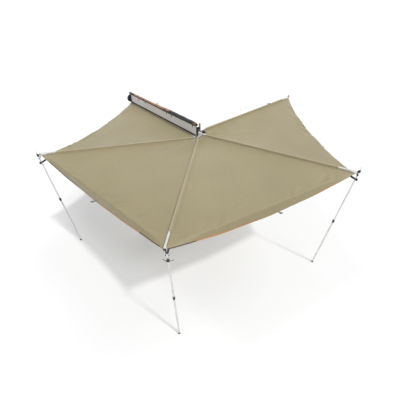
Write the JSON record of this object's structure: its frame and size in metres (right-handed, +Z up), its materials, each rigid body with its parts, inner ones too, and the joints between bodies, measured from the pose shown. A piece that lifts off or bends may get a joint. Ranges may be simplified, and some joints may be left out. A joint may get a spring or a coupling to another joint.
{
  "type": "vehicle side awning",
  "caption": "Wrap-around side awning for a vehicle roof rack: cloth panels between arms that swing on a corner hub, telescopic legs, an open travel bag on its rail and a guy rope.",
  "frame": {"origin": "middle of the backing rail's back face, which is the face towards the vehicle", "axes": "+X towards the rear of the vehicle, +Y from the awning towards the vehicle, +Z up"},
  "size_m": [4.5747, 4.6367, 2.1673],
  "materials": {
    "aluminium": "satin",
    "rail_aluminium": "mill finish",
    "steel": "zinc plated",
    "black_coat": "powder coated",
    "black_plastic": "moulded",
    "rubber": "matte",
    "canopy_cloth": "coated canvas",
    "sleeve_cloth": "coated canvas",
    "lining_cloth": "coated cloth",
    "bag_cloth": "heavy coated cloth",
    "webbing": "woven tape",
    "rope": "braided cord"
  },
  "bodies": {
    "rail": {"backing_rail": "rail_aluminium", "rail_end_cap": "black_plastic", "hub_bracket": "black_coat", "kingpin": "steel", "kingpin_nut": "steel", "rack_bracket_front": "aluminium", "rack_bracket_rear": "aluminium", "rack_bolt_front_upper": "steel", "rack_bolt_front_lower": "steel", "rack_bolt_rear": "steel", "bag_lining": "lining_cloth", "bag_flap_roll": "bag_cloth", "bag_end_gusset": "bag_cloth", "zip_tape": "webbing"},
    "zip_slider": {"zip_slider": "black_coat"},
    "arm_a": {"arm_a": "aluminium", "arm_a_tip": "black_coat", "sleeve_a": "sleeve_cloth", "canopy_panel_1": "canopy_cloth", "leg_a_strap": "webbing"},
    "leg_a": {"leg_a_head": "black_plastic", "leg_a_upper_tube": "aluminium"},
    "leg_a_lower": {"leg_a_lower_tube": "aluminium", "leg_a_foot": "rubber"},
    "leg_a_collar": {"leg_a_collar": "black_plastic"},
    "arm_b": {"arm_b": "aluminium", "arm_b_tip": "black_coat", "sleeve_b": "sleeve_cloth", "canopy_panel_2": "canopy_cloth", "edge_ring_ab": "steel", "leg_b_strap": "webbing"},
    "leg_b": {"leg_b_head": "black_plastic", "leg_b_upper_tube": "aluminium"},
    "leg_b_lower": {"leg_b_lower_tube": "aluminium", "leg_b_foot": "rubber"},
    "leg_b_collar": {"leg_b_collar": "black_plastic"},
    "arm_c": {"arm_c": "aluminium", "arm_c_tip": "black_coat", "sleeve_c": "sleeve_cloth", "canopy_panel_3": "canopy_cloth", "edge_ring_bc": "steel", "leg_c_strap": "webbing"},
    "leg_c": {"leg_c_head": "black_plastic", "leg_c_upper_tube": "aluminium"},
    "leg_c_lower": {"leg_c_lower_tube": "aluminium", "leg_c_foot": "rubber"},
    "leg_c_collar": {"leg_c_collar": "black_plastic"},
    "arm_d": {"arm_d": "aluminium", "arm_d_tip": "black_coat", "sleeve_d": "sleeve_cloth", "canopy_panel_4": "canopy_cloth", "edge_ring_cd": "steel", "guy_ring": "steel", "guy_rope": "rope", "leg_d_strap": "webbing"},
    "leg_d": {"leg_d_head": "black_plastic", "leg_d_upper_tube": "aluminium"},
    "leg_d_lower": {"leg_d_lower_tube": "aluminium", "leg_d_foot": "rubber"},
    "leg_d_collar": {"leg_d_collar": "black_plastic"}
  },
  "joints": [
    {"name": "arm_a_swing", "type": "hinge", "parent": "rail", "child": "arm_a", "pos_m": [1.155, -0.047, -0.063], "axis": [0, 0, 1], "range_deg": [-61.1, 0], "deforming": ["canopy_panel_1", "bag_end_gusset"]},
    {"name": "arm_b_swing", "type": "hinge", "parent": "arm_a", "child": "arm_b", "pos_m": [1.155, -0.047, -0.027], "axis": [0, 0, 1], "range_deg": [-67.5, 0], "deforming": ["canopy_panel_2", "edge_ring_ab"]},
    {"name": "arm_c_swing", "type": "hinge", "parent": "arm_b", "child": "arm_c", "pos_m": [1.155, -0.047, 0.009], "axis": [0, 0, 1], "range_deg": [-67.5, 0], "deforming": ["canopy_panel_3", "edge_ring_bc"]},
    {"name": "arm_d_swing", "type": "hinge", "parent": "arm_c", "child": "arm_d", "pos_m": [1.155, -0.047, 0.045], "axis": [0, 0, 1], "range_deg": [-67.5, 0], "deforming": ["canopy_panel_4", "edge_ring_cd", "guy_rope"]},
    {"name": "leg_a_swing", "type": "hinge", "parent": "arm_a", "child": "leg_a", "pos_m": [0.02511, -2.27113, -0.05205], "axis": [0.8858, -0.4641, 0], "range_deg": [0, 88], "deforming": ["leg_a_strap"]},
    {"name": "leg_a_slide", "type": "slide", "parent": "leg_a", "child": "leg_a_lower", "axis": [0, 0, 1], "range_m": [0, 0.64]},
    {"name": "leg_a_lock", "type": "hinge", "parent": "leg_a_lower", "child": "leg_a_collar", "pos_m": [0.02511, -2.27113, -0.8877], "axis": [0, 0, 1], "range_deg": [0, 90]},
    {"name": "leg_b_swing", "type": "hinge", "parent": "arm_b", "child": "leg_b", "pos_m": [2.75438, -1.91439, -0.01693], "axis": [0.7677, 0.6408, 0], "range_deg": [0, 88], "deforming": ["leg_b_strap"]},
    {"name": "leg_b_slide", "type": "slide", "parent": "leg_b", "child": "leg_b_lower", "axis": [0, 0, 1], "range_m": [0, 0.64]},
    {"name": "leg_b_lock", "type": "hinge", "parent": "leg_b_lower", "child": "leg_b_collar", "pos_m": [2.75438, -1.91439, -0.8877], "axis": [0, 0, 1], "range_deg": [0, 90]},
    {"name": "leg_c_swing", "type": "hinge", "parent": "arm_c", "child": "leg_c", "pos_m": [3.45794, 0.70528, 0.01819], "axis": [-0.2982, 0.9545, 0], "range_deg": [0, 88], "deforming": ["leg_c_strap"]},
    {"name": "leg_c_slide", "type": "slide", "parent": "leg_c", "child": "leg_c_lower", "axis": [0, 0, 1], "range_m": [0, 0.64]},
    {"name": "leg_c_lock", "type": "hinge", "parent": "leg_c_lower", "child": "leg_c_collar", "pos_m": [3.45794, 0.70528, -0.8877], "axis": [0, 0, 1], "range_deg": [0, 90]},
    {"name": "leg_d_swing", "type": "hinge", "parent": "arm_d", "child": "leg_d", "pos_m": [1.33805, 2.33269, 0.05331], "axis": [-0.996, 0.0898, 0], "range_deg": [0, 88], "deforming": ["leg_d_strap"]},
    {"name": "leg_d_slide", "type": "slide", "parent": "leg_d", "child": "leg_d_lower", "axis": [0, 0, 1], "range_m": [0, 0.64]},
    {"name": "leg_d_lock", "type": "hinge", "parent": "leg_d_lower", "child": "leg_d_collar", "pos_m": [1.33805, 2.33269, -0.8877], "axis": [0, 0, 1], "range_deg": [0, 90]},
    {"name": "zip_slide", "type": "slide", "parent": "rail", "child": "zip_slider", "axis": [-1, 0, 0], "range_m": [0, 1.95]}
  ]
}
